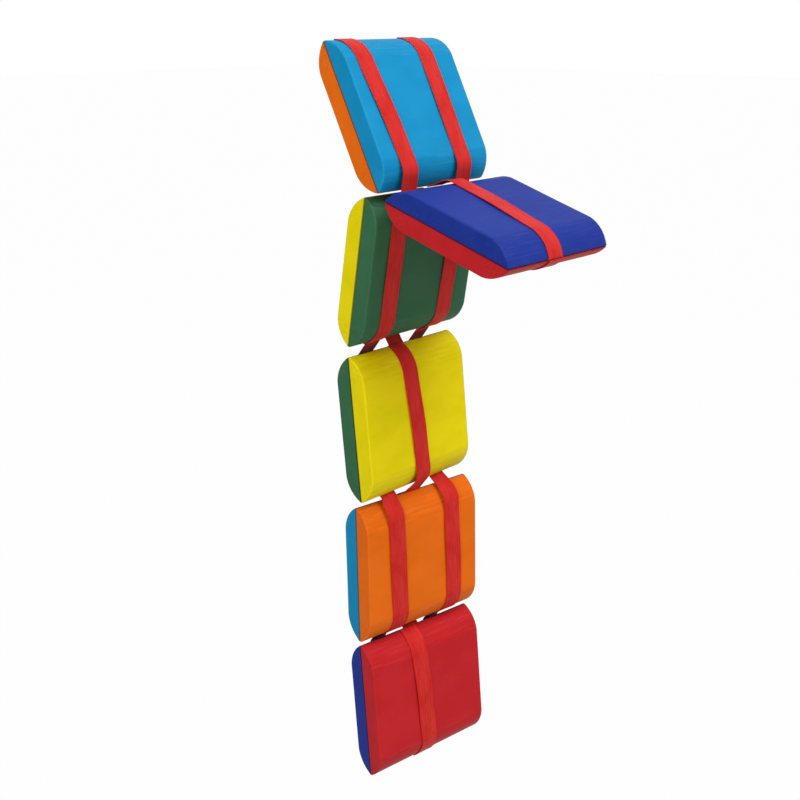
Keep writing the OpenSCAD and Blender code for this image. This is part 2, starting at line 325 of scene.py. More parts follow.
class Ribbon:
    """Where one joining ribbon runs, worked out from the CAD nodes of its pair."""

    def __init__(self, upper, lower, side, blocks):
        self.name = f"ribbon_{upper}_{lower}_{side}"
        self.link = f"link_{upper}_{lower}"
        on_upper = f"{self.name}_run" in frame["record"]["behaviour"]["bodies"][f"block_{upper}"]
        run_number, held_number = (upper, lower) if on_upper else (lower, upper)
        self.run_block, self.held_block = blocks[run_number], blocks[held_number]
        places = {
            upper: joint_at(f"block_{upper}", self.link)[0],
            lower: joint_at(self.link, f"block_{lower}")[0],
        }
        run_circle = self.run_block.to_local(places[run_number])
        held_circle = self.held_block.to_local(places[held_number])
        self.run_end = TOP if run_circle[2] > 0 else BOTTOM
        self.held_end = TOP if held_circle[2] > 0 else BOTTOM
        run_points = self.run_block.to_local(points_of(f"{self.name}_run"))
        towards_hinge = run_points[:, 2] * self.run_end
        at_hinge = run_points[towards_hinge > towards_hinge.max() - TOLERANCE]
        at_far = run_points[towards_hinge < -self.run_block.roll_z - PAST_ROLL]
        self.column = at_hinge[:, 0].mean()
        self.far_column = (at_far[:, 0].min() + at_far[:, 0].max()) / 2
        self.width = np.ptp(at_hinge[:, 0])
        self.run_side = BACK if run_points[:, 1].mean() > 0 else FRONT
        self.wrap_r = np.abs(run_points[:, 1]).max() - BAND / 2
        self.circles = (places[run_number], places[held_number])
        self.phase = upper * 2.1 + self.column / MM * 0.7  # each ribbon strays its own way


class Layout:
    """The measured toy: its blocks, its ribbons, and the twist of its lowest blocks."""

    def __init__(self):
        self.blocks = {n: Block(n) for n in BLOCKS}
        self.ribbons = [
            Ribbon(a, b, side, self.blocks) for a, b in PAIRS for side in COLUMNS
        ]
        place, axis = joint_at(f"link_{FIRST_TWISTED - 1}_{FIRST_TWISTED}",
                               f"block_{FIRST_TWISTED}")
        self.twist = math.atan2(axis[1], axis[0])
        self.twist_y = place[1]

    def share(self, block):
        """How much of the twist a block has: none above the twisted blocks, all of it below."""
        return 1.0 if block.number >= FIRST_TWISTED else 0.0

    def turned(self, points, share):
        """Points turned about the vertical twisting line by a share of the twist, each its own."""
        angle = self.twist * np.asarray(share)
        x, y = points[..., 0], points[..., 1] - self.twist_y
        return np.stack((
            x * np.cos(angle) - y * np.sin(angle),
            self.twist_y + x * np.sin(angle) + y * np.cos(angle),
            points[..., 2],
        ), -1)

    def flat(self, block, vector, is_point=True):
        """A place or direction of a block, with its twist undone, as [y, z]."""
        base = np.array((0, 0 if is_point else self.twist_y, 0))
        return (self.turned(vector + base, -self.share(block)) - base)[1:]


LAYOUT = Layout()


def make_piece(name, points, faces, sharp_angle=math.radians(35)):
    """A mesh object at the origin from rows of points and faces, smooth except at sharp edges."""
    mesh = bpy.data.meshes.new(name)
    mesh.from_pydata(points.tolist(), [], faces)
    mesh.validate()
    mesh.shade_smooth()
    mesh.set_sharp_from_angle(angle=sharp_angle)
    piece = bpy.data.objects.new(name, mesh)
    bpy.context.scene.collection.objects.link(piece)
    return piece


def give(piece, name, values):
    """Stores one vector or number per vertex, for the materials to read."""
    kind, key = ("FLOAT_VECTOR", "vector") if values.ndim == 2 else ("FLOAT", "value")
    attribute = piece.data.attributes.new(name, kind, "POINT")
    attribute.data.foreach_set(key, values.astype(np.float32).ravel())


def outline_faces(rows, columns):
    """Quads over a grid of points stored row by row, where the last row joins the first."""
    r, c = np.meshgrid(np.arange(rows), np.arange(columns - 1), indexing="ij")
    below = (r + 1) % rows
    quads = np.stack((r * columns + c, below * columns + c,
                      below * columns + c + 1, r * columns + c + 1), -1)
    return quads.reshape(-1, 4).tolist()


def end_arc(block, crease):
    """Centre and radius of the arc that rounds a board's end, as (depth, length).

    It leaves the face at the crease angle c and would reach the seam at the tip: with board
    thickness t and end length e its radius is (t^2 + e^2) / (2 (t cos c - e sin c)).
    """
    thick, end = block.end_r, block.length / 2 - block.half_flat
    radius = (thick ** 2 + end ** 2) / 2
    radius /= thick * math.cos(crease) - end * math.sin(crease)
    inward = radius * direction(np.array(crease))
    return np.array((thick, block.half_flat)) - inward, radius


def board_outline(block, settings, pocket_reach):
    """The closed side outline of a half-board: seam, corner, end arc, face and back.

    Each row is depth, length and the outward normal's two parts. With it come the sanding
    radius of each row and how near it is to the crease between face and end. The seam lies
    at depth zero. A small arc rounds the tip, tangent to the seam and, from inside, to the
    end arc.
    """
    thick, flat, r = block.end_r, block.half_flat, settings.seam_round
    crease = settings.crease
    centre, big = end_arc(block, crease)
    corner_z = centre[1] + math.sqrt((big - r) ** 2 - (r - centre[0]) ** 2)
    touch = math.atan2(corner_z - centre[1], r - centre[0])
    start = block.length / 2 - pocket_reach
    up = np.concatenate((
        np.linspace(-corner_z, -start - WALL, 5), np.linspace(-start, start, 21),
        np.linspace(start + WALL, corner_z, 5)))
    seam = np.stack((0 * up, up, 0 * up - 1, 0 * up), -1)
    a = np.linspace(math.pi, touch, 6)[1:]
    corner = np.stack((r + r * np.cos(a), corner_z + r * np.sin(a), np.cos(a), np.sin(a)), -1)
    a = np.concatenate((np.linspace(touch, crease + ARC_MARGIN, 27)[1:], [crease]))
    arc = np.stack((*(centre + big * direction(a)).T, np.cos(a), np.sin(a)), -1)
    down = np.concatenate(([flat - FACE_MARGIN], np.linspace(flat, -flat, 46)[1:-1],
                           [FACE_MARGIN - flat, -flat]))
    face = np.stack((0 * down + thick, down, 0 * down + 1, 0 * down), -1)
    upper = np.vstack((corner, arc))
    lower = upper[::-1][1:] * (1, -1, 1, -1)
    outline = np.vstack((seam, upper, face, lower[:-1]))
    depth, along = outline[:, 0], outline[:, 1]
    full_round_depth, crease_depth, wear_and_highlight_reach = 0.3 * thick, 0.8 * thick, 0.7 * MM
    blend = np.clip(depth / full_round_depth, 0, 1)
    radius = settings.seam_round + (settings.edge_round - settings.seam_round) * blend
    # Nearness to the crease feeds the paler line along it: partly wear, partly a painted
    # highlight.
    near_crease = np.exp(-((np.abs(along) - flat) / wear_and_highlight_reach) ** 2) * (depth > crease_depth)
    return outline, radius, near_crease


def board_surface(block, side, pockets, settings, tail):
    """A half-board as one closed sheet over outline position and width.

    Inside the width the outline is at full size. Towards each side it is drawn in along its
    normals by radius times (1 - cos a) while the width grows by radius times sin a, a going
    from 0 to a right angle, and the two sides are closed flat. In a pocket's columns the seam
    is pushed in by the pocket's depth. Sanding waves are a sum of three sines of place.
    """
    pocket_reach = tail + SEAT_GAP
    outline, radius, crease = board_outline(block, settings, pocket_reach)
    half = block.width / 2
    reach = half - settings.seam_round
    marks = np.linspace(-1, 1, 49)
    for column, width, _ in pockets:
        for edge in (column - width / 2, column + width / 2):
            marks = np.concatenate((marks, [(edge - WALL) / reach, (edge + WALL) / reach]))
    marks = np.unique(np.round(marks, 7))
    bends = np.radians((18, 36, 54, 72, 90))
    width_part = np.concatenate((0 * bends - 1, marks, 0 * bends + 1))
    bend = np.concatenate((bends[::-1], 0 * marks, bends))
    rows, columns = len(outline), len(width_part)
    x = width_part * (half - radius[:, None] * (1 - np.sin(bend)))
    draw_in = radius[:, None] * (1 - np.cos(bend))
    y = outline[:, 0, None] - outline[:, 2, None] * draw_in
    z = outline[:, 1, None] - outline[:, 3, None] * draw_in
    seed = block.number * 1.7 + side * 0.6  # each board has waves of its own
    over, down, askew = SANDING_WAVES
    wave = (np.sin(x / MM * over + seed) + np.sin(z / MM * down + 2 * seed)
            + np.sin((x + z) / MM * askew + 3 * seed)) / 3 * settings.sanding
    on_outside = np.clip(y / (0.5 * block.end_r), 0, 1)
    y = y + outline[:, 2, None] * wave * on_outside
    z = z + outline[:, 3, None] * wave * on_outside
    near_end = np.abs(z) > block.length / 2 - pocket_reach - TOLERANCE
    for column, width, end in pockets:
        over_pocket = (np.abs(x - column) < width / 2) & near_end & (z * end > 0)
        y = np.where(over_pocket & (y < POCKET_DEPTH), POCKET_DEPTH, y)
    local = np.stack((x, side * y, z), -1).reshape(-1, 3)
    faces = outline_faces(rows, columns)
    left = (np.arange(rows) * columns).tolist()
    right = (np.arange(rows) * columns + columns - 1).tolist()
    faces += [left, right[::-1]]
    if side == BACK:
        faces = [face[::-1] for face in faces]
    # The edge mask says where the paint turns paler along the outer edges and the crease: partly
    # wear, partly a painted highlight.
    wear_and_highlight_reach, on_rounding, side_share, crease_share = 0.9 * MM, 1.3, 0.45, 0.4
    edge = np.exp(-((half - np.abs(x)) / wear_and_highlight_reach) ** 2)
    edge *= np.where(bend > on_rounding, side_share, 1)
    edge = np.maximum(edge, crease_share * crease[:, None]) * on_outside
    return local, faces, edge.ravel()


class Tree:
    """Short helpers for building the node tree of a material or of the world."""

    def __init__(self, owner):
        owner.use_nodes = True
        self.owner = owner
        self.nodes = owner.node_tree.nodes
        self.links = owner.node_tree.links
        self.shader = self.nodes.get("Principled BSDF")

    def attribute(self, name):
        """Reads what give stored on the vertices."""
        node = self.nodes.new("ShaderNodeAttribute")
        node.attribute_name = name
        return node

    def math(self, operation, a, b=None, c=None, clamp=False):
        """One sum, product or function of up to three numbers."""
        node = self.nodes.new("ShaderNodeMath")
        node.operation = operation
        node.use_clamp = clamp
        for socket, value in zip(node.inputs, (a, b, c)):
            self.feed(socket, value)
        return node.outputs[0]

    def feed(self, socket, value):
        """Links a socket to another node's output, or sets it to a plain value."""
        if isinstance(value, bpy.types.NodeSocket):
            self.links.new(value, socket)
        elif value is not None:
            socket.default_value = value

    def mix(self, factor, a, b):
        """From colour a to colour b as the factor goes from 0 to 1."""
        node = self.nodes.new("ShaderNodeMix")
        node.data_type = "RGBA"
        self.feed(node.inputs["Factor"], factor)
        self.feed(node.inputs[6], a)
        self.feed(node.inputs[7], b)
        return node.outputs[2]

    def layer(self, under, over, mask, share):
        """A colour laid over another where the mask is, at a share of its full strength."""
        return self.mix(self.math("MULTIPLY", mask, share), under, over)

    def between(self, factor, low, high):
        """A number that goes evenly from low to high as the factor goes from 0 to 1."""
        return self.math("MULTIPLY_ADD", factor, high - low, low)

    def noise(self, vector, scale, detail, rough):
        """Noise of a vector whose three parts are first multiplied by scale."""
        mapping = self.nodes.new("ShaderNodeMapping")
        mapping.inputs["Scale"].default_value = scale
        self.links.new(vector, mapping.inputs["Vector"])
        node = self.nodes.new("ShaderNodeTexNoise")
        node.inputs["Scale"].default_value = 1.0
        node.inputs["Detail"].default_value = detail
        node.inputs["Roughness"].default_value = rough
        self.links.new(mapping.outputs[0], node.inputs["Vector"])
        return node.outputs["Fac"]

    def step(self, value, low, high):
        """Smooth step of a value from low to high."""
        node = self.nodes.new("ShaderNodeMapRange")
        node.interpolation_type = "SMOOTHSTEP"
        self.feed(node.inputs["Value"], value)
        node.inputs["From Min"].default_value = low
        node.inputs["From Max"].default_value = high
        return node.outputs[0]

    def bump(self, height, strength, distance, normal=None):
        """Shades the surface as if it rose by height times distance."""
        node = self.nodes.new("ShaderNodeBump")
        node.inputs["Strength"].default_value = strength
        node.inputs["Distance"].default_value = distance
        self.feed(node.inputs["Height"], height)
        self.feed(node.inputs["Normal"], normal)
        return node.outputs[0]


def tint(colour, gain, lift=0.0):
    """A linear colour multiplied by gain, then taken towards white by lift."""
    rgb = np.clip(np.array(colour[:3]) * gain, 0, 1)
    return (*(rgb + (1 - rgb) * lift).tolist(), 1.0)


def paint_material(name, colour, flat):
    """Satin paint over close wood. Faces are smooth and faintly mottled. Beyond the end of the
    flat, dark and pale sanding marks run along the width, in colour and in bump; the pale ones
    are also a painted highlight on the rounded ends. Along the edges and the crease the paint
    is paler here and there, partly wear and partly a painted highlight. A few scuffs cross the
    faces, and painted shade darkens the seam between the two boards."""
    tree = Tree(bpy.data.materials.new(name))
    base = linear(colour)
    place = tree.attribute("place").outputs["Vector"]
    edge = tree.attribute("edge").outputs["Fac"]
    split = tree.nodes.new("ShaderNodeSeparateXYZ")
    tree.links.new(tree.attribute("depth").outputs["Vector"], split.inputs[0])
    at_end = tree.step(split.outputs["Z"], low=flat / MM - 0.5, high=flat / MM + 1.0)
    blotch = tree.noise(place, *BLOTCH)
    grain = tree.noise(place, *GRAIN)
    brush_marks_and_highlight = tree.noise(place, *BRUSH_MARKS_AND_HIGHLIGHT)
    streak = tree.noise(place, *STREAK)
    fleck = tree.noise(place, *FLECK)
    body = tree.mix(tree.step(blotch, low=0.35, high=0.65),
                    tint(base, gain=0.97), tint(base, gain=1.04, lift=0.002))
    lines = tree.math("MULTIPLY", tree.step(grain, low=0.62, high=0.38),
                      tree.between(at_end, low=0.07, high=0.45))
    body = tree.mix(lines, body, tint(base, gain=0.84))
    # Pale marks on the rounded ends: partly sanding marks, partly a painted highlight where the
    # ends catch the light.
    pale = tree.math("MULTIPLY", tree.step(brush_marks_and_highlight, low=0.48, high=0.70), at_end)
    body = tree.layer(body, tint(base, gain=1.24, lift=0.022), pale, share=0.36)
    scuff = tree.math("MULTIPLY", tree.step(fleck, low=0.60, high=0.74),
                      tree.step(blotch, low=0.48, high=0.62))
    body = tree.layer(body, tint(base, gain=1.15, lift=0.06), scuff, share=0.22)
    # Paler paint along the edges and the crease: partly wear, partly a painted highlight.
    ragged = tree.math("ADD", edge, tree.between(streak, low=-0.45, high=0.45))
    wear_and_highlight = tree.step(ragged, low=0.70, high=1.20)
    body = tree.layer(body, tint(base, gain=1.30, lift=0.04), wear_and_highlight, share=0.24)
    # Painted shade: the paint darkens in the narrow hollow at the seam between the two boards.
    seam_shade = tree.math("SUBTRACT", 1.0, tree.step(split.outputs["Y"], low=0.12, high=0.55))
    body = tree.layer(body, tint(base, gain=0.10), seam_shade, share=0.72)
    tree.feed(tree.shader.inputs["Base Color"], body)
    rough = tree.between(streak, low=0.41, high=0.61)
    rough = tree.math("ADD", rough, tree.math("MULTIPLY", scuff, 0.15))
    tree.feed(tree.shader.inputs["Roughness"], rough)
    marks = tree.between(at_end, low=0.09, high=0.84)
    fine = tree.bump(tree.math("MULTIPLY", streak, marks), strength=0.30, distance=0.08 * MM)
    normal = tree.bump(tree.math("MULTIPLY", grain, marks), strength=0.45,
                       distance=0.20 * MM, normal=fine)
    tree.feed(tree.shader.inputs["Normal"], normal)
    tree.shader.inputs["Specular IOR Level"].default_value = 0.07
    return tree.owner


def cloth_material(settings, width):
    """Woven satin: the product of a sine across the band and a slower one along it, slow
    changes of shade, a paler selvedge on both edges, and a faint sheen."""
    tree = Tree(bpy.data.materials.new("woven_red_ribbon"))
    base = linear(settings.colour)
    cloth = tree.attribute("cloth").outputs["Vector"]
    split = tree.nodes.new("ShaderNodeSeparateXYZ")
    tree.links.new(cloth, split.inputs[0])
    across, along = split.outputs["X"], split.outputs["Y"]
    warp = tree.math("SINE", tree.math("MULTIPLY", across, 2 * math.pi / WARP_PITCH))
    weft = tree.math("SINE", tree.math("MULTIPLY", along, 2 * math.pi / WEFT_PITCH))
    weave = tree.math("MULTIPLY", warp, weft)
    uneven = tree.math("ADD", tree.noise(cloth, *SHADE), tree.noise(cloth, *THREAD))
    shade = tree.math("ADD", tree.math("MULTIPLY", weave, 0.11), uneven)
    body = tree.mix(tree.step(shade, low=0.62, high=1.38),
                    tint(base, gain=0.80), tint(base, gain=1.12, lift=0.03))
    edge = width / 2 / MM
    selvedge = tree.step(tree.math("ABSOLUTE", across), low=edge - 0.55, high=edge - 0.32)
    body = tree.layer(body, linear(settings.selvedge_colour), selvedge, share=0.55)
    tree.feed(tree.shader.inputs["Base Color"], body)
    tree.feed(tree.shader.inputs["Normal"], tree.bump(weave, strength=0.35, distance=0.05 * MM))
    tree.shader.inputs["Roughness"].default_value = 0.46
    tree.shader.inputs["Specular IOR Level"].default_value = 0.06
    tree.shader.inputs["Sheen Weight"].default_value = 0.01
    tree.shader.inputs["Sheen Roughness"].default_value = 0.4
    return tree.owner


def board_pockets(block, side):
    """The ribbon ends held in one board, each as its column, its width and its end."""
    found = []
    for ribbon in LAYOUT.ribbons:
        if ribbon.run_block is block and ribbon.run_side == side:
            found.append((ribbon.far_column, ribbon.width, -ribbon.run_end))
        if ribbon.held_block is block and held_side(ribbon) == side:
            found.append((ribbon.column, ribbon.width, ribbon.held_end))
    if block.number == LOWEST and side == FRONT:
        places, width = last_ribbon_places()
        found += [(places[0], width, BOTTOM), (places[1], width, TOP)]
    return found


def last_ribbon_places():
    """Bottom and top column, and width, of the ribbon that stays on the lowest block's front."""
    block = LAYOUT.blocks[LOWEST]
    points = block.to_local(points_of("ribbon_6_front_run"))
    ends = [points[points[:, 2] * end > block.roll_z + PAST_ROLL, 0] for end in (BOTTOM, TOP)]
    return [(x.min() + x.max()) / 2 for x in ends], np.ptp(ends[0])


def direction(angle):
    """The unit vector at an angle: its cosine and its sine."""
    return np.stack((np.cos(angle), np.sin(angle)), -1)


def angle_of(vector):
    """The angle at which a plane vector points."""
    return math.atan2(vector[1], vector[0])


def near(angle):
    """The same angle, brought to within half a turn of zero."""
    return angle - 2 * math.pi * round(angle / (2 * math.pi))


def hinge_geometry(ribbon):
    """Circles, face, tip and mouth directions and rolls of one hinge, in the untwisted [y, z]
    plane.

    The ribbon rolls about the run block's end from its face, crosses on the inner tangent of
    the two end circles, and rolls about the held block's end to its seam. The tangent's spread
    is the angle whose cosine is two wrap radii over the distance between the circles. Where
    that would leave less than no roll on one circle, the ribbon crosses between that circle's
    face or mouth and the other circle, which it meets on its tangent.
    """
    run, held = ribbon.run_block, ribbon.held_block
    ca = LAYOUT.flat(run, ribbon.circles[0])
    cb = LAYOUT.flat(held, ribbon.circles[1])
    face = angle_of(LAYOUT.flat(run, run.depth_axis * ribbon.run_side, False))
    tip_a = angle_of(LAYOUT.flat(run, run.length_axis * ribbon.run_end, False))
    tip_b = angle_of(LAYOUT.flat(held, held.length_axis * ribbon.held_end, False))
    turn = math.copysign(1, near(tip_a - face))
    wrap_r = ribbon.wrap_r
    mouth = tip_b + turn * math.asin(POCKET_MOUTH / wrap_r)
    gap = np.linalg.norm(cb - ca)
    line = angle_of(cb - ca)
    spread = math.acos(2 * wrap_r / gap)
    roll_a = turn * near(line - turn * spread - face)
    roll_b = turn * near(line + math.pi - turn * spread - mouth)

    def tangent(centre, point):
        reach = np.linalg.norm(point - centre)
        return angle_of(point - centre) - turn * math.acos(min(1, wrap_r / reach))

    start = ca + wrap_r * direction(face)
    lip = cb + wrap_r * direction(mouth)
    leave = roll_a if roll_b > 0 else turn * near(tangent(ca, lip) - face)
    join = roll_b if roll_a > 0 else turn * near(tangent(cb, start) - mouth)
    return ca, cb, face, tip_b, mouth, turn, max(leave, 0), max(join, 0)


def held_side(ribbon):
    """Which board of the held block the ribbon's end is trapped against."""
    _, _, _, tip_b, _, turn, _, _ = hinge_geometry(ribbon)
    inward = direction(np.array(tip_b + turn * math.pi / 2))
    held = ribbon.held_block
    return BACK if inward @ LAYOUT.flat(held, held.depth_axis, False) > 0 else FRONT


def tail_path(centre, tip, turn, mouth, wrap_r, tail, end_r):
    """From the wrap's lip into the seam: a quarter turn of small radius, then straight in.

    The turn is a quadratic curve whose middle control point is where the wrap meets the
    pocket's middle line.
    """
    axis, inward = direction(np.array(tip)), direction(np.array(tip + turn * math.pi / 2))
    middle = centre + inward * POCKET_MIDDLE
    lip = centre + wrap_r * direction(np.array(mouth))
    knee = middle + axis * wrap_r
    inside = middle + axis * (end_r - TURN_END)
    t = np.linspace(0, 1, 7)[1:, None]
    bend = (1 - t) ** 2 * lip + 2 * t * (1 - t) * knee + t ** 2 * inside
    depth = np.linspace(end_r - TURN_END, end_r - tail, 6)[1:, None]
    return np.vstack((bend, middle + axis * depth))


def ribbon_section(width, settings):
    """A band's closed section as rows of (across, out): half thickness is the body's, plus a
    bell-shaped rise to the selvedge's near each edge, closed by a circular end."""
    half, cord, spread, end = width / 2, 0.3 * MM, 0.25 * MM, 0.18 * MM
    across = half * np.sin(np.linspace(-math.pi / 2, math.pi / 2, 25))
    from_edge = half - np.abs(across)
    rise = np.exp(-((from_edge - cord) / spread) ** 2)
    thick = settings.body_thick + (settings.selvedge_thick - settings.body_thick) * rise
    close = np.sqrt(np.clip(1 - (1 - np.clip(from_edge / end, 0, 1)) ** 2, 0, 1))
    out = thick / 2 * close
    upper = np.stack((across, out), -1)
    lower = np.stack((across[::-1][1:-1], -out[::-1][1:-1]), -1)
    return np.vstack((upper, lower))


def sweep(name, centres, outward, width, settings, start_length, place_rings):
    """A band carried along a path, each ring of it at centre + across * x axis + out * normal,
    and put in place by place_rings. Its vertices keep how far across and along they are."""
    section = ribbon_section(width, settings)
    count, ring = len(centres), len(section)
    points = (centres[:, None, :] + section[None, :, :1] * (1.0, 0.0, 0.0)
              + section[None, :, 1:] * outward[:, None, :])
    points = place_rings(points)
    steps = np.linalg.norm(np.diff(centres, axis=0), axis=1)
    along = start_length + np.concatenate(([0], np.cumsum(steps)))
    cloth = np.stack((
        np.broadcast_to(section[None, :, 0] / MM, (count, ring)),
        np.broadcast_to(along[:, None] / MM, (count, ring)),
        np.zeros((count, ring)),
    ), -1).reshape(-1, 3)
    r, c = np.meshgrid(np.arange(count - 1), np.arange(ring), indexing="ij")
    after = (c + 1) % ring
    faces = np.stack((r * ring + c, r * ring + after, (r + 1) * ring + after,
                      (r + 1) * ring + c), -1).reshape(-1, 4).tolist()
    last = (count - 1) * ring
    faces += [list(range(ring))[::-1], list(range(last, last + ring))]
    piece = make_piece(name, points.reshape(-1, 3), faces, math.radians(50))
    mend_winding(piece)
    give(piece, "cloth", cloth)
    return piece, along[-1]


def mend_winding(piece):
    """Turns a closed mesh right side out if its signed volume is below zero."""
    mesh = piece.data
    mesh.calc_loop_triangles()
    corners = np.empty(len(mesh.loop_triangles) * 3, np.int32)
    mesh.loop_triangles.foreach_get("vertices", corners)
    a, b, c = np.moveaxis(vertices_of(mesh)[corners.reshape(-1, 3)], 1, 0)
    if np.einsum("ij,ij->i", a, np.cross(b, c)).sum() < 0:
        mesh.flip_normals()


def path_normals(path, turn_to):
    """Unit normals of a plane path: its tangent turned a quarter turn, the way of turn_to."""
    tangent = np.gradient(path, axis=0)
    tangent /= np.linalg.norm(tangent, axis=1)[:, None]
    return np.stack((-tangent[:, 1], tangent[:, 0]), -1) * turn_to


def run_path(block, wrap_r, tail, slack, crease, both_ends):
    """A ribbon's stay on its block as rows of (depth, length): pocket, wrap, face, and for a
    ribbon that never leaves it a second wrap and pocket. The wrap follows the wood's end arc
    at the same distance as the face's stretch. The ribbon bows off the face by slack times
    the squared sine of its way along."""
    origin, arc_r = end_arc(block, crease)
    along_r = arc_r + wrap_r - block.end_r
    mouth = math.acos((POCKET_MOUTH + BAND / 2 - origin[0]) / along_r)
    lip = origin + along_r * direction(np.array(mouth))
    knee = block.length / 2 + KNEE_RISE
    t = np.linspace(0, 1, 9)[:-1, None]
    bend = ((1 - t) ** 2 * (POCKET_MIDDLE, knee - KNEE_RUN)
            + 2 * t * (1 - t) * (POCKET_MIDDLE, knee) + t ** 2 * lip)
    trapped = np.linspace(block.length / 2 - tail, knee - KNEE_RUN, 6)[:-1]
    trapped = np.stack((0 * trapped + POCKET_MIDDLE, trapped), -1)
    wrap = origin + along_r * direction(np.linspace(mouth, crease, 27))
    start = block.half_flat
    stop = -start if both_ends else -block.roll_z
    t = np.linspace(0, 1, 46)[1:-1]
    bow = wrap_r + slack * np.sin(math.pi * t) ** 2
    face = np.stack((bow, start + (stop - start) * t), -1)
    head = np.vstack((trapped, bend, wrap))
    if both_ends:
        return np.vstack((head, face, (head * (1, -1))[::-1]))
    return np.vstack((head, face, [(wrap_r, stop)]))


def add_run(name, block, side, far_end, places, width, wrap_r, crease, settings, phase,
            both_ends):
    """Builds a ribbon's stay on its block. It crosses the face evenly from its place at the
    hinge to its place at the far end, with a slight sideways wander."""
    path = run_path(block, wrap_r, settings.tail, settings.slack, crease, both_ends)
    normals = path_normals(path, -1)
    shoulder = 0.6 * wrap_r
    on_face = np.clip((path[:, 0] - shoulder) / (wrap_r - shoulder), 0, 1)
    reach = np.clip(1 - np.abs(path[:, 1]) / block.roll_z, 0, 1)
    wave = np.sin(path[:, 1] / MM * WANDER_WAVE + phase)
    wander = WANDER * wave * on_face * np.sqrt(reach)
    far_share = np.clip((path[:, 1] + block.roll_z) / (2 * block.roll_z), 0, 1)
    column = places[0] + (places[1] - places[0]) * far_share
    mirror = (side, far_end)
    centres = np.insert(path * mirror, 0, column + wander, axis=1)
    outward = np.insert(normals * mirror, 0, 0.0, axis=1)
    return sweep(name, centres, outward, width, settings, 0.0, block.to_world)


def finish_ribbon(piece, material):
    """Dresses a stretch of ribbon in its cloth."""
    piece.data.materials.append(material)


def add_hinge(ribbon, settings, material, start_length):
    """The flexing stretch of a ribbon in three pieces: rolling off its run block, rolling on
    to its held block, and the end that stays on the held block.

    The first two are shaped from a block to the link and are left in place, joined to no body;
    the third goes with the held block. They meet a named share of the way over the gap, near
    the held block, so that the ribbon doesn't double back when the blocks fold flat. Of the held
    block's arc, no more than the named reach next to the crossing bends.
    """
    ca, cb, face, tip_b, mouth, turn, leave, join = hinge_geometry(ribbon)
    wrap_r = ribbon.wrap_r
    step, reach = math.radians(3), math.radians(80)

    def arc(centre, start, first, last):
        """Points on the wrap from one angle past the start to another; one if they agree."""
        count = 1 if first == last else max(2, math.ceil(abs(last - first) / step) + 1)
        return centre + wrap_r * direction(start + turn * np.linspace(first, last, count))

    bent = min(join, reach)
    off, on = arc(ca, face, 0, leave), arc(cb, mouth, join, join - bent)
    meeting = off[-1] + (on[0] - off[-1]) * MEETING
    before = np.linspace(0, 1, 9)[1:, None]
    after = np.linspace(0, 1, 15)[1:, None]
    first = np.vstack((off, off[-1] + (meeting - off[-1]) * before))
    second = np.vstack(([meeting], meeting + (on[0] - meeting) * after, on[1:]))
    third = np.vstack((arc(cb, mouth, join - bent, 0),
                       tail_path(cb, tip_b, turn, mouth, wrap_r, settings.tail,
                                 ribbon.held_block.end_r)))
    whole = np.vstack((first, second[1:], third[1:]))
    normals = path_normals(whole, -turn)
    shares = (LAYOUT.share(ribbon.run_block), LAYOUT.share(ribbon.held_block))
    across_gap = np.concatenate((
        np.zeros(len(off)), before[:, 0] * MEETING, MEETING + after[:, 0] * (1 - MEETING),
        np.ones(len(on) - 1 + len(third) - 1)))
    eased = across_gap ** 2 * (3 - 2 * across_gap)
    share = shares[0] + (shares[1] - shares[0]) * eased
    run_body, held_body = ribbon.run_block.body, ribbon.held_block.body
    stops = (0, len(first) - 1, len(first) + len(second) - 2, len(whole) - 1)
    for k, word in enumerate(("roll", "cross", "end")):
        part = slice(stops[k], stops[k + 1] + 1)
        centres = np.insert(whole[part], 0, ribbon.column, axis=1)
        outward = np.insert(normals[part], 0, 0.0, axis=1)

        def place(points, ring_share=share[part]):
            return LAYOUT.turned(points, ring_share[:, None])

        piece, start_length = sweep(f"{ribbon.name}_{word}", centres, outward,
                                    ribbon.width, settings, start_length, place)
        finish_ribbon(piece, material)
        if k == 0:
            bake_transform(piece)
            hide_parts(f"{ribbon.name}_hinge")
        elif k == 1:
            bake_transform(piece)
        else:
            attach(piece, held_body)


class FLIPTOY_OT_boards(Operator):
    """Build the twelve painted half-boards"""

    bl_idname = "fliptoy.boards"
    bl_label = "Half-boards"

    def execute(self, context):
        settings = context.scene.fliptoy_boards
        tail = context.scene.fliptoy_ribbons.tail
        paints = {
            name: paint_material(f"{name}_paint", getattr(settings, name),
                                 LAYOUT.blocks[1].half_flat)
            for name in sorted(set(FACE_PAINTS[FRONT] + FACE_PAINTS[BACK]))
        }
        for block in LAYOUT.blocks.values():
            for side, word in ((FRONT, "front"), (BACK, "back")):
                pockets = board_pockets(block, side)
                local, faces, edge = board_surface(block, side, pockets, settings, tail)
                piece = make_piece(f"painted_{block.number}_{word}", block.to_world(local), faces)
                mend_winding(piece)
                offset = np.array(PATTERN_STEP) * (block.number + 0.5 * side)
                give(piece, "place", local / MM + offset)
                give(piece, "depth", np.abs(local) / MM)
                give(piece, "edge", edge)
                paint = FACE_PAINTS[side][block.number - 1]
                piece.data.materials.append(paints[paint])
                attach(piece, block.body)
                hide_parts(f"{block.body}_{word}_board")
        return {"FINISHED"}


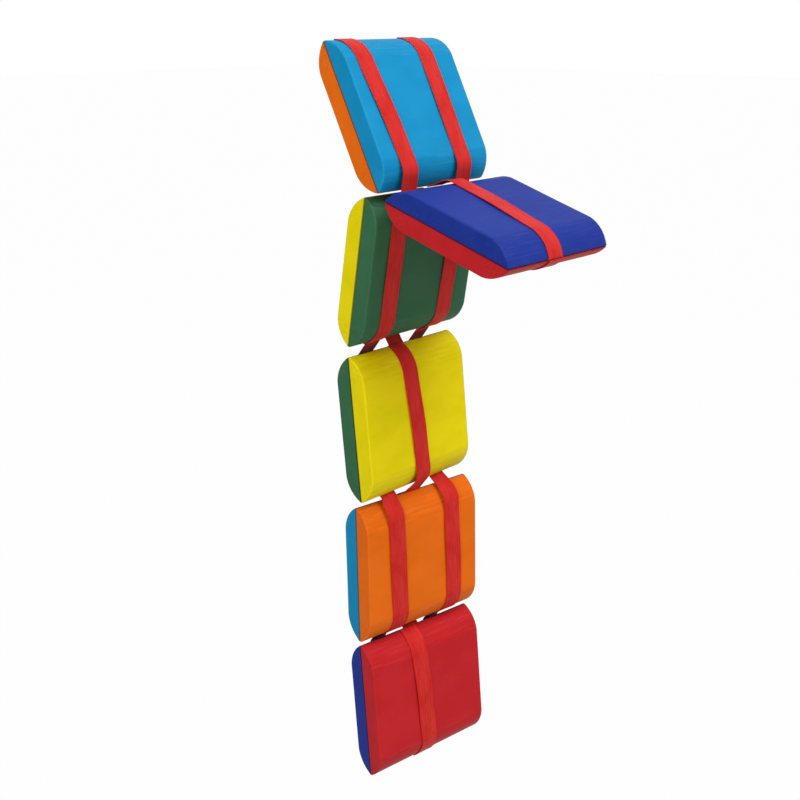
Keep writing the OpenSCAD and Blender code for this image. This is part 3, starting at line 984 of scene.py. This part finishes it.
class FLIPTOY_OT_ribbons(Operator):
    """Build the sixteen woven ribbons, along their blocks and through their hinges"""

    bl_idname = "fliptoy.ribbons"
    bl_label = "Ribbons"

    def execute(self, context):
        settings = context.scene.fliptoy_ribbons
        crease = context.scene.fliptoy_boards.crease
        material = cloth_material(settings, LAYOUT.ribbons[0].width)
        for ribbon in LAYOUT.ribbons:
            piece, length = add_run(
                f"{ribbon.name}_strip", ribbon.run_block, ribbon.run_side, -ribbon.run_end,
                (ribbon.column, ribbon.far_column), ribbon.width, ribbon.wrap_r, crease,
                settings, ribbon.phase, False)
            finish_ribbon(piece, material)
            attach(piece, ribbon.run_block.body)
            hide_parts(f"{ribbon.name}_run")
            add_hinge(ribbon, settings, material, length)
        block = LAYOUT.blocks[LOWEST]
        places, width = last_ribbon_places()
        piece, _ = add_run("ribbon_6_front_strip", block, FRONT, TOP, places, width,
                           LAYOUT.ribbons[0].wrap_r, crease, settings, 1.0, True)
        finish_ribbon(piece, material)
        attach(piece, block.body)
        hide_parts("ribbon_6_front_run")
        return {"FINISHED"}


def seeing_rays(tree):
    """One for rays that show the background: from the camera, off gloss, through clear."""
    rays = tree.nodes.new("ShaderNodeLightPath").outputs
    seen = tree.math("ADD", rays["Is Camera Ray"], rays["Is Glossy Ray"])
    return tree.math("ADD", seen, rays["Is Transmission Ray"], clamp=True)


def floor_material():
    """Pale matt grey, nearly white to the rays that show the background, so that the toy's
    shadow on it stays faint."""
    tree = Tree(bpy.data.materials.new("pale_floor"))
    tree.shader.inputs["Base Color"].default_value = (FLOOR_GREY, FLOOR_GREY, FLOOR_GREY, 1)
    tree.shader.inputs["Roughness"].default_value = 0.9
    white = tree.nodes.new("ShaderNodeEmission")
    white.inputs["Color"].default_value = (1, 1, 1, 1)
    blend = tree.nodes.new("ShaderNodeMixShader")
    tree.feed(blend.inputs[0], tree.math("MULTIPLY", seeing_rays(tree), FLOOR_WHITE))
    tree.links.new(tree.shader.outputs[0], blend.inputs[1])
    tree.links.new(white.outputs[0], blend.inputs[2])
    tree.links.new(blend.outputs[0], tree.nodes["Material Output"].inputs["Surface"])
    return tree.owner


class FLIPTOY_OT_studio(Operator):
    """Build the pale floor, the soft light, the white surround and the camera"""

    bl_idname = "fliptoy.studio"
    bl_label = "Studio"

    def execute(self, context):
        scene = context.scene
        settings = scene.fliptoy_studio
        self.add_floor(settings)
        self.add_light("key", KEY_LAMP, settings.key_power, settings)
        self.add_light("side", SIDE_LAMP, settings.side_power, settings)
        self.set_world(scene, settings)
        self.add_camera(scene, settings)
        scene.view_settings.view_transform = "Standard"
        return {"FINISHED"}

    def add_floor(self, settings):
        """A square of pale floor below the toy."""
        size, level = FLOOR_REACH, CAD_BOX[0][2] - settings.floor_drop
        corners = np.array([(-size, -size, level), (size, -size, level),
                            (size, size, level), (-size, size, level)])
        floor = make_piece("pale_floor", corners, [[0, 1, 2, 3]])
        floor.data.materials.append(floor_material())

    def add_light(self, name, form, power, settings):
        """A soft round lamp, placed from the point that the camera looks at and aimed at it."""
        light = bpy.data.lights.new(name, "AREA")
        light.shape = "DISK"
        light.size, offset = form
        light.energy = power
        lamp = bpy.data.objects.new(name, light)
        target = Vector(settings.look_at)
        lamp.location = target + Vector(offset)
        lamp.rotation_euler = (target - lamp.location).to_track_quat("-Z", "Y").to_euler()
        bpy.context.scene.collection.objects.link(lamp)

    def set_world(self, scene, settings):
        """Even fill light, seen as white by the camera, by gloss and through clear surfaces."""
        tree = Tree(bpy.data.worlds.new("white_surround"))
        background = tree.nodes["Background"].inputs
        background["Color"].default_value = (1, 1, 1, 1)
        strength = tree.between(seeing_rays(tree), low=settings.fill_strength, high=1.0)
        tree.feed(background["Strength"], strength)
        scene.world = tree.owner

    def add_camera(self, scene, settings):
        """The camera, on a sphere about the point it looks at, rolled about its own axis."""
        data = bpy.data.cameras.new("camera")
        data.sensor_width = SENSOR
        data.lens = settings.lens
        camera = bpy.data.objects.new("camera", data)
        a, e = settings.azimuth, settings.elevation
        back = Vector((math.sin(a) * math.cos(e), -math.cos(a) * math.cos(e), math.sin(e)))
        camera.location = Vector(settings.look_at) + back * settings.distance
        aim = (-back).to_track_quat("-Z", "Y").to_matrix()
        camera.rotation_euler = (aim @ Matrix.Rotation(settings.roll, 3, "Z")).to_euler()
        scene.collection.objects.link(camera)
        scene.camera = camera


class FLIPTOY_PT_panel(Panel):
    """The toy's sizes, colours and steps"""

    bl_idname = "FLIPTOY_PT_panel"
    bl_label = "Flip Block Toy"
    bl_space_type = "VIEW_3D"
    bl_region_type = "UI"
    bl_category = "Flip Toy"

    def draw(self, context):
        groups = (
            ("fliptoy.boards", context.scene.fliptoy_boards),
            ("fliptoy.ribbons", context.scene.fliptoy_ribbons),
            ("fliptoy.studio", context.scene.fliptoy_studio),
        )
        for operator, settings in groups:
            box = self.layout.box()
            for name in settings.__annotations__:
                box.prop(settings, name)
            box.operator(operator)


CLASSES = (
    FLIPTOY_PG_boards, FLIPTOY_PG_ribbons, FLIPTOY_PG_studio,
    FLIPTOY_OT_boards, FLIPTOY_OT_ribbons, FLIPTOY_OT_studio, FLIPTOY_PT_panel,
)
SETTINGS = {
    "fliptoy_boards": FLIPTOY_PG_boards,
    "fliptoy_ribbons": FLIPTOY_PG_ribbons,
    "fliptoy_studio": FLIPTOY_PG_studio,
}


def register():
    for cls in CLASSES:
        bpy.utils.register_class(cls)
    for name, cls in SETTINGS.items():
        setattr(bpy.types.Scene, name, PointerProperty(type=cls))


def unregister():
    for name in SETTINGS:
        delattr(bpy.types.Scene, name)
    for cls in reversed(CLASSES):
        bpy.utils.unregister_class(cls)


def main():
    register()
    bpy.ops.fliptoy.studio()
    bpy.ops.fliptoy.boards()
    bpy.ops.fliptoy.ribbons()


if __name__ == "__main__":
    main()
